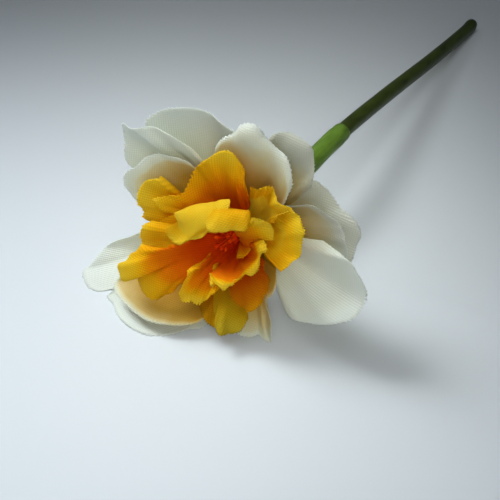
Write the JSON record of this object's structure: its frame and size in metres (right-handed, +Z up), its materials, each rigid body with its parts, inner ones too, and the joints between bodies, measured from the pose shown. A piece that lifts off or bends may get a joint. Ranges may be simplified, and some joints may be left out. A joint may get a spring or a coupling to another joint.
{
  "type": "fabric daffodil flower",
  "caption": "Double daffodil of woven fabric lying on its side, with layered white petals, a ruffled yellow centre, a calyx sleeve and a slim green stem.",
  "frame": {"origin": "centre of the bounding box's footprint, on the surface the flower lies on", "axes": "+Y along the stem towards its cut end, so the face looks along -Y and a little up; +Z up; +X to the right of someone who looks along +Y at the flower's face"},
  "size_m": [0.0762, 0.1926, 0.0527],
  "materials": {
    "stem_plastic": "dark green soft plastic over wire, faint shine",
    "sleeve_plastic": "pale green soft plastic tube, matte",
    "white_fabric": "stiffened white plain-weave polyester, satin sheen, thin enough to let light through",
    "yellow_fabric": "stiffened plain-weave polyester dyed yellow, deepening to orange at the root",
    "stamen_fabric": "deep orange threads, stiffened"
  },
  "bodies": {
    "root": {"stem": "stem_plastic", "calyx_sleeve": "sleeve_plastic", "back_petals": "white_fabric", "front_petals": "white_fabric", "outer_frill": "yellow_fabric", "middle_frill": "yellow_fabric", "inner_frill": "yellow_fabric", "stamens": "stamen_fabric"}
  },
  "joints": []
}
